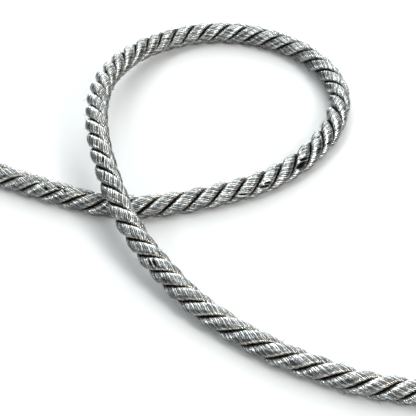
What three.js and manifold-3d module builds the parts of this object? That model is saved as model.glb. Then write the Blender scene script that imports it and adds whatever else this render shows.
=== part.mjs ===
// A half-metre length of three-strand twisted cord trim, lying in one open overhand loop.
// Millimetres, +Z up, +X to the right along the front, and the surface it lies on is Z = 0.
// The cord comes in from the left, bends round to the back, lifts off the surface, passes over
// itself and runs out to the right along the front.

import * as THREE from "three";
import { mergeVertices } from "three/addons/utils/BufferGeometryUtils.js";
import Module from "manifold-3d";

const wasm = await Module();
wasm.setup();

// Driving dimensions of the cord.
const cordDiameter = 8; // over the crests of the three strands
const strandCount = 3;
const strandThickness = 3.7; // one strand, measured outwards from the cord's middle
const strandWidth = 4.8; // one strand, measured sideways, with its neighbours pressed into it
const pressedFlat = 0.25; // how far the crests are flattened where they lie
const grooveRadius = 2.35; // from the cord's middle to the bottom of the groove between strands
const lyingHeight = cordDiameter / 2 - pressedFlat;

// Fineness of the solid.
const sectionCount = 366;
const crestAngles = [-38, -14, 14, 38].map(THREE.MathUtils.degToRad); // from a strand's own crest
const slabDepth = 5; // of the block that flattens the underside

// The route of the cord's middle: x, y, the lift above its lying height, and how many turns the
// strands have made by there. One turn takes 20 to 27 mm of cord.
const route = [
  [-80.7, 13.4, 0, -0.05],
  [-68.5, 8.5, 0, 0.5],
  [-55.5, 2.5, 0, 1.1],
  [-42.5, -3, 0, 1.68],
  [-29, -7.5, 0, 2.25],
  [-15, -8.5, 0, 2.83],
  [-0.5, -6, 0, 3.44],
  [13, -2, 0, 4.04],
  [26, 3.5, 0, 4.68],
  [37.5, 12, 0, 5.31],
  [47, 23, 0, 5.93],
  [53.5, 35.5, 0, 6.56],
  [56, 49.5, 0, 7.16],
  [52.5, 63.5, 0, 7.78],
  [44.5, 75.5, 0, 8.45],
  [33, 83.5, 0, 9.1],
  [19.5, 88, 0.25, 9.77],
  [5.5, 88, 0.5, 10.43],
  [-7.5, 83, 1.25, 11.1],
  [-18.5, 74, 3, 11.82],
  [-26, 62, 5.75, 12.42],
  [-30.5, 49, 8.75, 13],
  [-32.5, 35, 10.75, 13.61],
  [-32, 20.5, 11.5, 14.26],
  [-29.5, 6.5, 10.75, 14.89],
  [-25.5, -7, 9, 15.48],
  [-20.5, -20, 6.75, 16.07],
  [-13.5, -32.5, 4.5, 16.71],
  [-5, -43.5, 2.25, 17.36],
  [4.5, -54, 0.75, 17.99],
  [15.5, -63, 0, 18.53],
  [27.5, -71.5, 0, 19.09],
  [40, -78, 0, 19.64],
  [53, -83.5, 0, 20.23],
  [67, -86.5, 0, 20.84],
  [81.5, -89, 0, 21.45],
].map(([x, y, lift, turns]) => [x, y, lyingHeight + lift, turns]);

// A value a share of the way from second to third, on the smooth curve through all four.
function smoothBetween(first, second, third, fourth, share) {
  const slope = (third - first) / 2;
  const nextSlope = (fourth - second) / 2;
  const rise = third - second;
  const square = 3 * rise - 2 * slope - nextSlope;
  const cube = slope + nextSlope - 2 * rise;
  return second + share * (slope + share * (square + share * cube));
}

// A row carried on past the end of the route, in line with its last two rows.
function rowBeyond(end, before) {
  return end.map((value, column) => 2 * value - before[column]);
}

const longRoute = [
  rowBeyond(route[0], route[1]),
  ...route,
  rowBeyond(route.at(-1), route.at(-2)),
];

// The cord's middle and the turns made, at a share of the route from 0 to 1.
function routeAt(share) {
  const along = share * (route.length - 1);
  const row = Math.min(Math.floor(along), route.length - 2);
  const [x, y, z, turns] = route[0].map((_, column) =>
    smoothBetween(
      ...[0, 1, 2, 3].map((step) => longRoute[row + step][column]),
      along - row,
    ),
  );
  return { middle: new THREE.Vector3(x, y, z), turns };
}

// How far the cord's surface is from its middle, at an angle from a strand's crest. A strand cut
// square across the cord is an oval, wider than thick because it leans and is soft.
const strandDepth = strandThickness / 2;
const strandHalfWidth = strandWidth / 2;
const strandOffset = cordDiameter / 2 - strandDepth;

function surfaceRadius(angle) {
  const outward = (Math.cos(angle) / strandDepth) ** 2;
  const across = (Math.sin(angle) / strandHalfWidth) ** 2;
  const middle = (Math.cos(angle) * strandOffset) / strandDepth ** 2;
  const short = (strandOffset / strandDepth) ** 2 - 1;
  return (middle + Math.sqrt(middle ** 2 - (outward + across) * short)) / (outward + across);
}

// One turn of the section, groove first, as angles and radii.
const strandAngle = (2 * Math.PI) / strandCount;
const sectionOutline = [];
for (let strand = 0; strand < strandCount; strand++) {
  const groove = strand * strandAngle;
  sectionOutline.push({ angle: groove, radius: grooveRadius });
  for (const crest of crestAngles) {
    sectionOutline.push({
      angle: groove + strandAngle / 2 + crest,
      radius: surfaceRadius(crest),
    });
  }
}

// Places the outline square to the cord at a share of the route. The strands turn left-handed.
const nudge = 1e-4;
const upward = new THREE.Vector3(0, 0, 1);

function sectionAt(share) {
  const { middle, turns } = routeAt(share);
  const ahead = routeAt(Math.min(share + nudge, 1)).middle;
  const behind = routeAt(Math.max(share - nudge, 0)).middle;
  const run = ahead.sub(behind).normalize();
  const right = new THREE.Vector3().crossVectors(run, upward).normalize();
  const top = new THREE.Vector3().crossVectors(right, run);
  const points = sectionOutline.map(({ angle, radius }) => {
    const turned = angle - 2 * Math.PI * turns;
    return middle
      .clone()
      .addScaledVector(top, radius * Math.cos(turned))
      .addScaledVector(right, radius * Math.sin(turned));
  });
  return { middle, points };
}

// The whole cord as one closed surface, with a square cut at each end.
function twistedCord() {
  const sections = [];
  for (let step = 0; step < sectionCount; step++) {
    sections.push(sectionAt(step / (sectionCount - 1)));
  }
  const around = sectionOutline.length;
  const vertices = sections.flatMap(({ points }) => points);
  const faces = [];
  for (let step = 0; step < sectionCount - 1; step++) {
    for (let side = 0; side < around; side++) {
      const here = step * around + side;
      const beside = step * around + ((side + 1) % around);
      faces.push(here, beside, beside + around);
      faces.push(here, beside + around, here + around);
    }
  }
  const startMiddle = vertices.push(sections[0].middle) - 1;
  const endMiddle = vertices.push(sections.at(-1).middle) - 1;
  const lastSection = (sectionCount - 1) * around;
  for (let side = 0; side < around; side++) {
    const beside = (side + 1) % around;
    faces.push(startMiddle, beside, side);
    faces.push(endMiddle, lastSection + side, lastSection + beside);
  }
  const geometry = new THREE.BufferGeometry().setFromPoints(vertices);
  geometry.setIndex(faces);
  return geometry;
}

function solidFrom(geometry) {
  const bare = geometry.clone();
  bare.deleteAttribute("normal");
  bare.deleteAttribute("uv");
  const merged = mergeVertices(bare);
  return new wasm.Manifold(
    new wasm.Mesh({
      numProp: 3,
      vertProperties: merged.attributes.position.array,
      triVerts: new Uint32Array(merged.index.array),
    }),
  );
}

function geometryFrom(solid) {
  const { vertProperties, triVerts } = solid.getMesh();
  const geometry = new THREE.BufferGeometry();
  geometry.setAttribute("position", new THREE.BufferAttribute(vertProperties, 3));
  geometry.setIndex(new THREE.BufferAttribute(triVerts, 1));
  return geometry;
}

// Everything below the surface is cut away, so each crest that touches it has a small flat.
function flattenedBelow(geometry) {
  geometry.computeBoundingBox();
  const size = geometry.boundingBox.getSize(new THREE.Vector3());
  const slab = new THREE.BoxGeometry(size.x + cordDiameter, size.y + cordDiameter, slabDepth);
  slab.translate(0, 0, -slabDepth / 2);
  return geometryFrom(solidFrom(geometry).subtract(solidFrom(slab)));
}

const silverThread = new THREE.MeshStandardMaterial({
  color: 0xa9abab,
  roughness: 0.42,
  metalness: 0.55,
  flatShading: true,
});

const cord = new THREE.Mesh(flattenedBelow(twistedCord()), silverThread);
cord.name = "cord";

const trim = new THREE.Group();
trim.add(cord);

export default trim;
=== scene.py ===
# A length of silver twisted cord trim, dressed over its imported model.
import math

import bmesh
import bpy
import numpy as np
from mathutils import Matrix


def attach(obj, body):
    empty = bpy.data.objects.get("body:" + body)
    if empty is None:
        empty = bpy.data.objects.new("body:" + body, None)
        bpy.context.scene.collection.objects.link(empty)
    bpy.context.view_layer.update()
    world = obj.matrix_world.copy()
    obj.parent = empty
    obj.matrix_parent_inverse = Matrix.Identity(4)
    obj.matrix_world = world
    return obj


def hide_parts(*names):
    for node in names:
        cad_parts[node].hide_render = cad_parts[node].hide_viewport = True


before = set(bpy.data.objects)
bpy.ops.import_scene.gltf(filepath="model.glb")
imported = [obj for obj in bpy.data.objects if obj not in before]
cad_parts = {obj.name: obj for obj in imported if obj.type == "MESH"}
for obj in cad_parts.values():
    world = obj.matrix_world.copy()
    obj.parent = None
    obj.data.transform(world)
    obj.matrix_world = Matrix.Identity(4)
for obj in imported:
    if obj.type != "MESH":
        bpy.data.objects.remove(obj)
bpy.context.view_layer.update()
chance = np.random.default_rng(1812)


def report(stage):
    print("stage:", stage)


# The camera comes first: it looks down at the loop from the front.
cameraSettings = {
    "place": (0.007, -0.3146, 0.3091),
    "lookDown": 45,  # degrees below the horizon
    "lens": 109.7,
    "sensor": 36,
    "nearest": 0.01,
}


def makeCamera(settings):
    data = bpy.data.cameras.new("camera")
    data.lens = settings["lens"]
    data.sensor_width = settings["sensor"]
    data.clip_start = settings["nearest"]
    camera = bpy.data.objects.new("camera", data)
    camera.location = settings["place"]
    camera.rotation_euler = (math.radians(90 - settings["lookDown"]), 0, 0)
    bpy.context.collection.objects.link(camera)
    bpy.context.scene.camera = camera


makeCamera(cameraSettings)
report("camera")


# One output of a shader node. Plain maths on it adds the nodes.
class Wire:
    def __init__(self, finish, socket):
        self.finish = finish
        self.socket = socket

    def maths(self, operation, *values):
        sockets = dict(enumerate(values))
        return self.finish.node("ShaderNodeMath", {"operation": operation}, sockets)

    def __add__(self, other):
        return self.maths("ADD", self, other)

    def __sub__(self, other):
        return self.maths("SUBTRACT", self, other)

    def __rsub__(self, other):
        return self.maths("SUBTRACT", other, self)

    def __mul__(self, other):
        return self.maths("MULTIPLY", self, other)

    __radd__ = __add__
    __rmul__ = __mul__


# A material under construction.
class Finish:
    def __init__(self, name):
        self.material = bpy.data.materials.new(name)
        self.material.use_nodes = True
        self.tree = self.material.node_tree
        self.surface = self.tree.nodes["Principled BSDF"]

    def feed(self, socket, value):
        if isinstance(value, Wire):
            self.tree.links.new(value.socket, socket)
        else:
            socket.default_value = value

    def node(self, kind, settings=None, sockets=None, out=0):
        made = self.tree.nodes.new(kind)
        for name, value in (settings or {}).items():
            setattr(made, name, value)
        for name, value in (sockets or {}).items():
            self.feed(made.inputs[name], value)
        return Wire(self, made.outputs[out])

    def attribute(self, name):
        return self.node("ShaderNodeAttribute", {"attribute_name": name}, out="Fac")

    def noise(self, dimensions, place, scale):
        settings = {"noise_dimensions": dimensions}
        sockets = {"Vector": place, "Scale": scale, "Detail": 0.0}
        return self.node("ShaderNodeTexNoise", settings, sockets, out="Fac")

    def lottery(self, number):
        settings = {"noise_dimensions": "1D"}
        return self.node("ShaderNodeTexWhiteNoise", settings, {"W": number}, out="Value")

    def blend(self, share, first, second):
        settings = {"data_type": "RGBA", "clamp_factor": True}
        return self.node("ShaderNodeMix", settings, {0: share, 6: first, 7: second}, out=2)

    def between(self, value, low, high):
        settings = {"clamp": True, "interpolation_type": "SMOOTHSTEP"}
        return self.node("ShaderNodeMapRange", settings, {0: value, 1: low, 2: high})

    def paint(self, **values):
        for name, value in values.items():
            self.feed(self.surface.inputs[name.replace("_", " ")], value)
        return self.material


# The cord itself: three strands of wound thread, laid left-handed along the route.
cordSettings = {
    "strands": 3,
    "diameter": 0.008,
    "pressedFlat": 0.00025,
    "strandThickness": 0.0037,
    "strandWidth": 0.0048,
    "strandGap": 0.0002,
    "threadPitch": 0.00051,  # measured along the cord
    "threadStarts": 20,  # threads wound side by side round a strand
    "threadProfile": [0.0, 0.82, 1.0, 0.82],  # height across one thread, valley first
    "midHeight": 0.6,  # the height on the profile that lies on the strand's plain oval
    # degrees round a strand from its outermost line
    "pointsAround": [
        *(-165, -138, -119, -103, -86, -69, -51, -32, -11),
        *(11, 32, 51, 69, 86, 103, 119, 138, 165),
    ],
    "relief": 0.00014,
    "unevenness": 0.25,
    "waves": [(0.0075, 0.00012), (0.0028, 0.00006)],  # spacing and height of soft bulges
    "waveLean": 0.004,  # how far they shift along the cord between a strand's middle and its side
    "gapDepth": 0.0009,
    "gapEdge": 3,  # a gap closes over the outer third of its reach
    # strand, distance along the cord, degrees round the strand, threads apart, degrees long
    "gaps": [
        (1, 0.1278, 0, 4.6, 210),
        (1, 0.1298, 19, 1.7, 180),
        (2, 0.1376, 30, 1.6, 60),
        (2, 0.1366, 30, 1.6, 70),
        (2, 0.1351, 40, 1.6, 60),
        (0, 0.1429, -10, 1.6, 60),
        (2, 0.1412, 45, 1.2, 50),
        (1, 0.1318, -10, 1.2, 50),
        (2, 0.1119, 0, 2.0, 160),
        (2, 0.1132, 10, 1.2, 110),
        (1, 0.1035, -25, 1.2, 100),
        (2, 0.106, -85, 1.6, 40),
        (1, 0.1072, 60, 1.2, 60),
        (0, 0.3912, -10, 1.6, 130),
        (0, 0.3924, 0, 1.4, 130),
        (1, 0.3994, 30, 1.6, 80),
        (1, 0.0359, 28, 2.0, 80),
        (1, 0.0398, 80, 2.2, 50),
        (2, 0.0423, -45, 1.6, 50),
        (0, 0.3476, 0, 1.0, 110),
        (1, 0.3535, -20, 1.0, 110),
    ],
    "skin": 0.00035,  # thickness of the wound thread at a cut end
    "nearCap": 0.01,  # what is this close to a cut end belongs to it
    "sameSpot": 1e-7,  # points this close are one
    "floorGap": 0.00001,
    "fineSteps": 40,  # of the line between two rows of the route
    "bakeStrips": 14,  # side by side in the image that the colours are baked to
    "stripLeft": 0.03,  # in shares of a strip's width
    "stripWidth": 0.94,
    "stripLow": 0.06,  # in shares of the image, as the next three
    "stripHeight": 0.93,
    "capPlace": 0.03,
    "capStep": 0.05,
    "capScale": 6.0,  # for each metre
    # x, y and lift in metres and turns of the strands, as in the model
    "route": [
        (-0.0807, 0.0134, 0, -0.05),
        (-0.0685, 0.0085, 0, 0.5),
        (-0.0555, 0.0025, 0, 1.1),
        (-0.0425, -0.003, 0, 1.68),
        (-0.029, -0.0075, 0, 2.25),
        (-0.015, -0.0085, 0, 2.83),
        (-0.0005, -0.006, 0, 3.44),
        (0.013, -0.002, 0, 4.04),
        (0.026, 0.0035, 0, 4.68),
        (0.0375, 0.012, 0, 5.31),
        (0.047, 0.023, 0, 5.93),
        (0.0535, 0.0355, 0, 6.56),
        (0.056, 0.0495, 0, 7.16),
        (0.0525, 0.0635, 0, 7.78),
        (0.0445, 0.0755, 0, 8.45),
        (0.033, 0.0835, 0, 9.1),
        (0.0195, 0.088, 0.00025, 9.77),
        (0.0055, 0.088, 0.0005, 10.43),
        (-0.0075, 0.083, 0.00125, 11.1),
        (-0.0185, 0.074, 0.003, 11.82),
        (-0.026, 0.062, 0.00575, 12.42),
        (-0.0305, 0.049, 0.00875, 13),
        (-0.0325, 0.035, 0.01075, 13.61),
        (-0.032, 0.0205, 0.0115, 14.26),
        (-0.0295, 0.0065, 0.01075, 14.89),
        (-0.0255, -0.007, 0.009, 15.48),
        (-0.0205, -0.02, 0.00675, 16.07),
        (-0.0135, -0.0325, 0.0045, 16.71),
        (-0.005, -0.0435, 0.00225, 17.36),
        (0.0045, -0.054, 0.00075, 17.99),
        (0.0155, -0.063, 0, 18.53),
        (0.0275, -0.0715, 0, 19.09),
        (0.04, -0.078, 0, 19.64),
        (0.053, -0.0835, 0, 20.23),
        (0.067, -0.0865, 0, 20.84),
        (0.0815, -0.089, 0, 21.45),
    ],
}


# The route as a fine line, with the directions that are ahead, to the right and upward on it.
class Line:
    def __init__(self, settings):
        rows = np.array(settings["route"], float)
        rows[:, 2] += settings["diameter"] / 2 - settings["pressedFlat"]
        padded = np.vstack([2 * rows[0] - rows[1], rows, 2 * rows[-1] - rows[-2]])
        share = np.linspace(0, 1, settings["fineSteps"], endpoint=False)[:, None]
        spans = []
        for first, second, third, fourth in zip(padded, padded[1:], padded[2:], padded[3:]):
            slope, nextSlope, rise = (third - first) / 2, (fourth - second) / 2, third - second
            square = 3 * rise - 2 * slope - nextSlope
            cube = slope + nextSlope - 2 * rise
            spans.append(second + share * (slope + share * (square + share * cube)))
        fine = np.vstack(spans + [rows[-1:]])
        self.middle, self.turns = fine[:, :3], fine[:, 3]
        steps = np.linalg.norm(np.diff(self.middle, axis=0), axis=1)
        self.distance = np.concatenate([[0], np.cumsum(steps)])
        self.length = self.distance[-1]
        self.ahead = self.unit(np.gradient(self.middle, self.distance, axis=0))
        self.right = self.unit(np.cross(self.ahead, (0, 0, 1)))
        self.top = np.cross(self.right, self.ahead)

    def unit(self, vectors):
        return vectors / np.linalg.norm(vectors, axis=-1, keepdims=True)

    def at(self, values, distance):
        if values.ndim == 1:
            return np.interp(distance, self.distance, values)
        columns = [np.interp(distance, self.distance, column) for column in values.T]
        return np.stack(columns, axis=-1)


line = Line(cordSettings)


# Gentle random waves along the cord, the same in each run. Some knots lie beyond its ends.
def smoothNoise(positions, spacing, size):
    before, beyond = 2, 6
    knots = chance.uniform(-1, 1, int(line.length / spacing) + before + beyond)
    along = positions / spacing + before
    knot = np.floor(along).astype(int)
    share = along - knot
    share = share * share * (3 - 2 * share)
    return size * (knots[knot] * (1 - share) + knots[knot + 1] * share)


# The surface of one strand at a distance along the cord and an angle round the strand.
def onStrand(settings, strand, distance, around, raised):
    depth = settings["strandThickness"] / 2
    halfWidth = settings["strandWidth"] / 2
    offset = settings["diameter"] / 2 - depth
    strands = settings["strands"]
    turned = (2 * strand + 1) * math.pi / strands - 2 * math.pi * line.at(line.turns, distance)
    turned = turned[..., None]
    top, right = line.at(line.top, distance), line.at(line.right, distance)
    outward = top * np.cos(turned) + right * np.sin(turned)
    sideways = right * np.cos(turned) - top * np.sin(turned)
    normalOut, normalSide = np.cos(around) / depth, np.sin(around) / halfWidth
    normalSize = np.hypot(normalOut, normalSide)
    reachOut = offset + depth * np.cos(around) + raised * normalOut / normalSize
    reachSide = halfWidth * np.sin(around) + raised * normalSide / normalSize
    wedge = math.tan(math.pi / strands) * reachOut - settings["strandGap"]
    reachSide = np.clip(reachSide, -wedge, wedge)  # each strand keeps to its share of the cord
    places = line.at(line.middle, distance)
    places = places + outward * reachOut[..., None] + sideways * reachSide[..., None]
    places[..., 2] = np.maximum(places[..., 2], settings["floorGap"])
    return places


# How open each point is, from 0 to 1, where threads have been pushed apart.
def gapsOn(settings, strand, thread, around):
    edge = settings["gapEdge"]
    gap = np.zeros(thread.shape)
    for onto, distance, degrees, threads, length in settings["gaps"]:
        if onto == strand:
            middle = math.radians(degrees)
            turn = middle / (2 * math.pi) - 0.5
            middleThread = distance / settings["threadPitch"] - turn * settings["threadStarts"]
            aside = 2 * (thread - middleThread) / threads
            along = 2 * (around - middle) / math.radians(length)
            gap = np.maximum(gap, np.clip(edge - edge * np.hypot(aside, along), 0, 1))
    return gap


# One strand: rows of points across its threads, each thread wound round it against the lay.
def windStrand(settings, strand):
    profile, angles = np.array(settings["threadProfile"]), np.radians(settings["pointsAround"])
    perThread, points = len(profile), len(angles)
    shift = settings["threadStarts"] * perThread  # rows that a thread moves on in one round
    threads = math.ceil(line.length / settings["threadPitch"]) + 2 * settings["threadStarts"]
    row, point = np.meshgrid(np.arange(threads * perThread), np.arange(points), indexing="ij")
    thread, crest = row // perThread, profile[row % perThread]
    around = angles[point]
    turn = around / (2 * math.pi) - 0.5
    distance = (row / perThread + turn * settings["threadStarts"]) * settings["threadPitch"]
    clipped = np.clip(distance, 0, line.length)
    height = chance.normal(1, settings["unevenness"], threads)[thread]
    raised = settings["relief"] * (crest * height - settings["midHeight"])
    for spacing, size in settings["waves"]:
        raised += smoothNoise(clipped + settings["waveLean"] * np.sin(around), spacing, size)
    gap = gapsOn(settings, strand, row / perThread, around)
    raised -= settings["gapDepth"] * gap
    raised[clipped != distance] = 0
    places = onStrand(settings, strand, clipped, around, raised)

    number = row * points + point
    here, beyond = number[:-1], number[1:]
    beside, besideBeyond = np.roll(here, -1, axis=1), np.roll(beyond, -1, axis=1)
    beside[:, -1] += shift * points  # the last point joins the first of a later row
    besideBeyond[:, -1] += shift * points
    faces = np.stack([here, beside, besideBeyond, beyond], axis=-1)[: -shift - 1]
    facts = {
        "thread": row / perThread,
        "around": around / math.pi,
        "ridge": crest,
        "gap": gap,
    }
    return places, faces, facts


# Lays the strand out flat in side-by-side strips, so that its colours can be baked.
def stripCorners(settings, faces):
    rows, points = faces.shape[:2]
    row, point = np.meshgrid(np.arange(rows), np.arange(points), indexing="ij")
    strips = settings["bakeStrips"]
    width, height = settings["stripWidth"], settings["stripHeight"]
    stripRows = math.ceil(rows / strips)
    left = (row // stripRows + settings["stripLeft"] + width * point / points) / strips
    right = left + width / points / strips
    low = settings["stripLow"] + height * (row % stripRows) / stripRows
    high = low + height / stripRows
    return np.stack([left, low, right, low, right, high, left, high], axis=-1)


# Closes a cut end: the wound skin is a thin rim round a pale core.
def closeEnds(settings, shape):
    core = shape.faces.layers.float.new("core")
    uvLayer = shape.loops.layers.uv["OFBake"]
    edges = [edge for edge in shape.edges if edge.is_boundary]
    caps = bmesh.ops.holes_fill(shape, edges=edges, sides=0)["faces"]
    rim = bmesh.ops.inset_individual(shape, faces=caps, thickness=settings["skin"])["faces"]
    low, reach = settings["capPlace"], settings["nearCap"]
    for number, cap in enumerate(caps):
        cap[core] = 1
        left = low + settings["capStep"] * number
        middle = cap.calc_center_median()
        across = (cap.verts[0].co - middle).normalized()
        up = cap.normal.cross(across)
        near = [face for face in rim if (face.calc_center_median() - middle).length < reach]
        for face in [cap, *near]:
            for loop in face.loops:
                place = (loop.vert.co - middle) * settings["capScale"]
                loop[uvLayer].uv = (left + place.dot(across), low + place.dot(up))
    return caps


def makeStrand(settings, strand):
    places, faces, facts = windStrand(settings, strand)
    name = "strand_" + "abc"[strand]
    mesh = bpy.data.meshes.new(name)
    mesh.from_pydata(places.reshape(-1, 3), [], faces.reshape(-1, 4))
    uvMap = mesh.uv_layers.new(name="OFBake")
    uvMap.uv.foreach_set("vector", stripCorners(settings, faces).astype(np.float32).ravel())
    for fact, values in facts.items():
        layer = mesh.attributes.new(fact, "FLOAT", "POINT")
        layer.data.foreach_set("value", values.astype(np.float32).ravel())
    shape = bmesh.new()
    shape.from_mesh(mesh)
    bmesh.ops.remove_doubles(shape, verts=shape.verts, dist=settings["sameSpot"])
    loose = [vertex for vertex in shape.verts if not vertex.link_faces]
    bmesh.ops.delete(shape, geom=loose, context="VERTS")
    for face in shape.faces:
        face.smooth = True
    for face in closeEnds(settings, shape):
        face.smooth = False
    height = shape.verts.layers.float["ridge"]
    for edge in shape.edges:  # threads meet in a sharp valley
        edge.smooth = max(vertex[height] for vertex in edge.verts) > 0
    shape.to_mesh(mesh)
    shape.free()
    piece = bpy.data.objects.new(name, mesh)
    bpy.context.collection.objects.link(piece)
    return piece


# Pairs are where a change begins and ends. Angles are degrees round a strand from its crest.
threadSettings = {
    "dull": (0.26, 0.275, 0.285, 1),
    "bright": (0.9, 0.94, 0.94, 1),
    "warm": (0.5, 0.43, 0.33, 1),
    "paintedShadeAndFleckDark": (0.02, 0.02, 0.021, 1),  # painted shade deep between threads and strands, also the dark of grain flecks and cut fibres
    "paintedGapShade": (0.001, 0.001, 0.001, 1),  # painted shade where threads are pushed apart
    "core": (0.55, 0.54, 0.5, 1),  # the cut fibres inside a strand
    "sameThread": 0.001,  # so that rounding doesn't give a thread's edge its neighbour's number
    "turnabout": 0.618,  # makes neighbouring threads differ
    "luckShare": 0.3,  # of the lot that makes a thread dull or bright
    "lotRange": (0.2, 0.7),
    "warmLuck": 0.37,  # shifts the second draw away from the first
    "warmShare": 0.3,
    # painted warm reflection on one flank of each strand, by angle round it
    "paintedWarmSideShare": 0.3,
    "paintedWarmSide": (25, 85),
    "valley": (0.1, 0.75),  # heights on a thread's profile; painted shade darkens the valleys below them
    # least brightness of the painted valley shade
    "valleyLight": 0.1,
    # painted shade: darkens each strand towards the creases between strands
    "crease": (74, 116),
    "lean": 10,  # how far the painted crease shade leans to the earlier side of a strand
    "grain": (1.9, 9.0),  # flecks across a thread and round a strand
    "grainRange": (0.32, 0.6),
    "grainLight": 0.3,
    "paintedShineEnd": (-55, -5),  # painted highlight: full brightness before this, then painted shade dims the strand
    "paintedShineAgain": (35, 75),  # here the painted highlight partly returns
    "paintedShineAgainShare": 0.6,
    "paintedDim": 0.62,  # how much the painted shade dims the body of a strand
    "coreGrain": 3500.0,  # cut fibre ends in each metre
    "coreRange": (0.3, 0.6),
    "coreLight": 0.35,
    "metal": 0.9,
    "roughness": 0.19,
    "lotRoughness": 0.1,
    "bareRoughness": 0.5,  # added at cut ends and in gaps
}


# A share that never falls below its least value.
def atLeast(least, share):
    return least + (1 - least) * share


def silverThread(settings):
    finish = Finish("silver_thread")
    thread = finish.attribute("thread")
    ridge = finish.attribute("ridge")
    around = finish.attribute("around")
    gap = finish.attribute("gap")
    core = finish.attribute("core")
    degrees = around * 180

    number = thread.maths("FLOOR", thread + settings["sameThread"])
    turnabout = number.maths("FRACT", number * settings["turnabout"])
    luck = settings["luckShare"]
    lot = (1 - luck) * turnabout + luck * finish.lottery(number)
    lot = finish.between(lot, *settings["lotRange"])
    bright = finish.blend(lot, settings["dull"], settings["bright"])
    warmLot = finish.lottery(number + settings["warmLuck"]) * settings["warmShare"]
    # Painted warm reflection on one flank of each strand.
    paintedWarmSide = finish.between(degrees, *settings["paintedWarmSide"]) * settings["paintedWarmSideShare"]
    tinted = finish.blend(warmLot + paintedWarmSide, bright, settings["warm"])

    # Painted shade in the valleys between threads.
    valley = finish.between(ridge, *settings["valley"])
    # Painted shade in the creases between strands.
    leaning = degrees - settings["lean"]
    fromCrest = leaning.maths("ABSOLUTE", leaning)
    crease = finish.between(fromCrest, *settings["crease"])
    across, along = settings["grain"]
    place = finish.node("ShaderNodeCombineXYZ", {}, {"X": thread * across, "Y": around * along})
    grain = finish.between(finish.noise("2D", place, 1.0), *settings["grainRange"])
    # Painted highlight and shade by angle round a strand: a bright band, a dimmed body, then
    # partial brightness again.
    paintedShineAgain = finish.between(degrees, *settings["paintedShineAgain"]) * settings["paintedShineAgainShare"]
    paintedDim = finish.between(degrees, *settings["paintedShineEnd"]) * (1 - paintedShineAgain) * settings["paintedDim"]
    # Painted shade from the creases, valleys and dimmed body, times the thread's own grain
    # flecks.
    paintedShadeAndGrain = (1 - crease) * (1 - paintedDim) * atLeast(settings["valleyLight"], valley)
    paintedShadeAndGrain = paintedShadeAndGrain * atLeast(settings["grainLight"], grain)
    colour = finish.blend(paintedShadeAndGrain, settings["paintedShadeAndFleckDark"], tinted)
    # Painted shade: near black inside the gaps where threads are pushed apart.
    colour = finish.blend(gap, colour, settings["paintedGapShade"])

    inside = finish.node("ShaderNodeTexCoord", out="Object")
    fibres = finish.noise("3D", inside, settings["coreGrain"])
    fibres = atLeast(settings["coreLight"], finish.between(fibres, *settings["coreRange"]))
    coreColour = finish.blend(fibres, settings["paintedShadeAndFleckDark"], settings["core"])
    rough = settings["roughness"] + settings["lotRoughness"] * lot
    return finish.paint(
        Base_Color=finish.blend(core, colour, coreColour),
        Metallic=settings["metal"] * (1 - core),
        Roughness=rough + settings["bareRoughness"] * (core + gap),
    )


# Fine loose ends of thread that stand off the strands.
filamentSettings = {
    "count": 560,
    "thickness": 0.00016,
    "taper": 0.6,
    "points": 6,
    "corners": [0, 120, 240],  # degrees round a filament
    "lift": (0.0004, 0.0017),
    "length": (12, 45),  # degrees round a strand
    "within": 90,
    "fromEnds": 0.003,
    "stray": 0.0004,
    # what the thread finish is told
    "facts": {"thread": 0.5, "around": 0.3, "ridge": 1},
}


def makeFilaments(settings, cord):
    count, points = settings["count"], settings["points"]
    share = np.linspace(0, 1, points)
    strand = chance.integers(0, cord["strands"], count)
    start = np.radians(chance.uniform(-1, 1, count) * settings["within"])[:, None]
    reach = np.radians(chance.uniform(*settings["length"], count) * chance.choice([-1, 1], count))
    around = start + reach[:, None] * share
    pitch = cord["threadStarts"] * cord["threadPitch"] / (2 * math.pi)
    fromEnds = settings["fromEnds"]
    along = chance.uniform(fromEnds, line.length - fromEnds, count)[:, None]
    stray = chance.normal(0, settings["stray"], count)[:, None]
    distance = along + (around - start) * pitch + stray * share**2
    lift = chance.uniform(*settings["lift"], count)[:, None]
    raised = lift * share - settings["thickness"]
    middle = np.empty((count, points, 3))
    for number in range(cord["strands"]):
        own = strand == number
        middle[own] = onStrand(cord, number, distance[own], around[own], raised[own])
    ahead = line.unit(np.gradient(middle, axis=1))
    side = line.unit(np.cross(ahead, line.unit(chance.normal(0, 1, (count, 1, 3)))))
    up = np.cross(ahead, side)
    radius = settings["thickness"] / 2 * (1 - settings["taper"] * share)[:, None]
    rings = []
    for turn in np.radians(settings["corners"]):
        rings.append(middle + radius * (math.cos(turn) * side + math.sin(turn) * up))
    places = np.stack(rings, axis=2)
    places[..., 2] = np.maximum(places[..., 2], cord["floorGap"])
    return buildFilaments(settings, places)


# Builds the filaments from their rings of corners, as one piece.
def buildFilaments(settings, places):
    shape = bmesh.new()
    for name in settings["facts"]:
        shape.verts.layers.float.new(name)
    layers = shape.verts.layers.float
    for number, fibre in enumerate(places):
        corners = [[shape.verts.new(place) for place in ring] for ring in fibre]
        for here, beyond in zip(corners, corners[1:]):
            for one, other in ((0, 1), (1, 2), (2, 0)):
                shape.faces.new((here[one], here[other], beyond[other], beyond[one]))
        shape.faces.new(corners[0][::-1])
        shape.faces.new(corners[-1])
        for vertex in sum(corners, []):
            for name, value in settings["facts"].items():
                vertex[layers[name]] = value
            vertex[layers["thread"]] += number
    bmesh.ops.recalc_face_normals(shape, faces=shape.faces)
    mesh = bpy.data.meshes.new("loose_filaments")
    shape.to_mesh(mesh)
    shape.free()
    piece = bpy.data.objects.new("loose_filaments", mesh)
    bpy.context.collection.objects.link(piece)
    return piece


silver = silverThread(threadSettings)
strands = [makeStrand(cordSettings, strand) for strand in range(cordSettings["strands"])]
filaments = makeFilaments(filamentSettings, cordSettings)
for piece in [*strands, filaments]:
    piece.data.materials.append(silver)
    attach(piece, "root")
for piece in strands:
    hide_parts("cord")
report("cord, %d faces" % sum(len(piece.data.polygons) for piece in strands))


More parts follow.
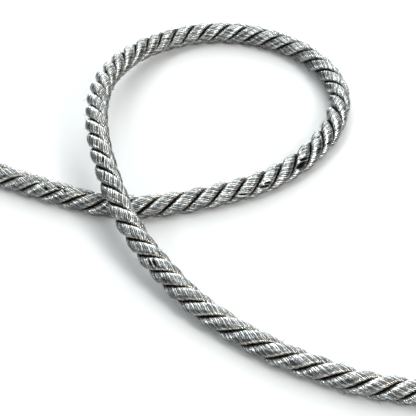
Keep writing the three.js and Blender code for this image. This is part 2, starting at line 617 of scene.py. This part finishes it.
# The surface it lies on, and the studio light round it.
stageSettings = {
    "floorSide": 6.0,
    "floorWhite": (0.46, 0.46, 0.46, 1),
    "floorRoughness": 0.6,
    "floorShine": 0.2,
    "roomLight": 0.13,
    "softboxes": [
        # degrees round from the front to the right, up and across, then strength and colour
        (60, 42, 18, 2.1, (1.0, 0.99, 0.97)),
        (85, 68, 30, 0.7, (1.0, 1.0, 1.0)),
        (60, 15, 24, 0.7, (1.0, 1.0, 1.0)),
        (30, 15, 24, 0.4, (1.0, 0.97, 0.9)),
        (300, 42, 14, 1.2, (0.94, 0.99, 1.0)),
        (0, 12, 30, 0.9, (0.96, 0.99, 1.0)),
        (275, 66, 20, 0.6, (0.94, 0.99, 1.0)),
        (172, 58, 60, 3.2, (0.95, 0.99, 1.0)),
        (180, 18, 50, 2.9, (0.94, 0.99, 1.0)),
    ],
}


def makeFloor(settings):
    finish = Finish("pale_floor")
    finish.paint(
        Base_Color=settings["floorWhite"],
        Roughness=settings["floorRoughness"],
        Specular_IOR_Level=settings["floorShine"],
    )
    shape = bmesh.new()
    bmesh.ops.create_grid(shape, x_segments=1, y_segments=1, size=settings["floorSide"] / 2)
    mesh = bpy.data.meshes.new("floor")
    shape.to_mesh(mesh)
    shape.free()
    mesh.materials.append(finish.material)
    floor = bpy.data.objects.new("floor", mesh)
    bpy.context.collection.objects.link(floor)


def makeLight(settings):
    world = bpy.data.worlds.new("room")
    world.use_nodes = True
    background = world.node_tree.nodes["Background"]
    background.inputs["Color"].default_value = (1, 1, 1, 1)
    background.inputs["Strength"].default_value = settings["roomLight"]
    bpy.context.scene.world = world
    for number, (around, up, across, strength, colour) in enumerate(settings["softboxes"]):
        data = bpy.data.lights.new("softbox_%d" % number, "SUN")
        data.angle = math.radians(across)
        data.energy, data.color = strength, colour
        lamp = bpy.data.objects.new("softbox_%d" % number, data)
        lamp.rotation_euler = (math.radians(90 - up), 0, math.radians(around))
        bpy.context.collection.objects.link(lamp)


makeFloor(stageSettings)
makeLight(stageSettings)
bpy.context.scene.view_settings.view_transform = "Standard"
report("floor and light")
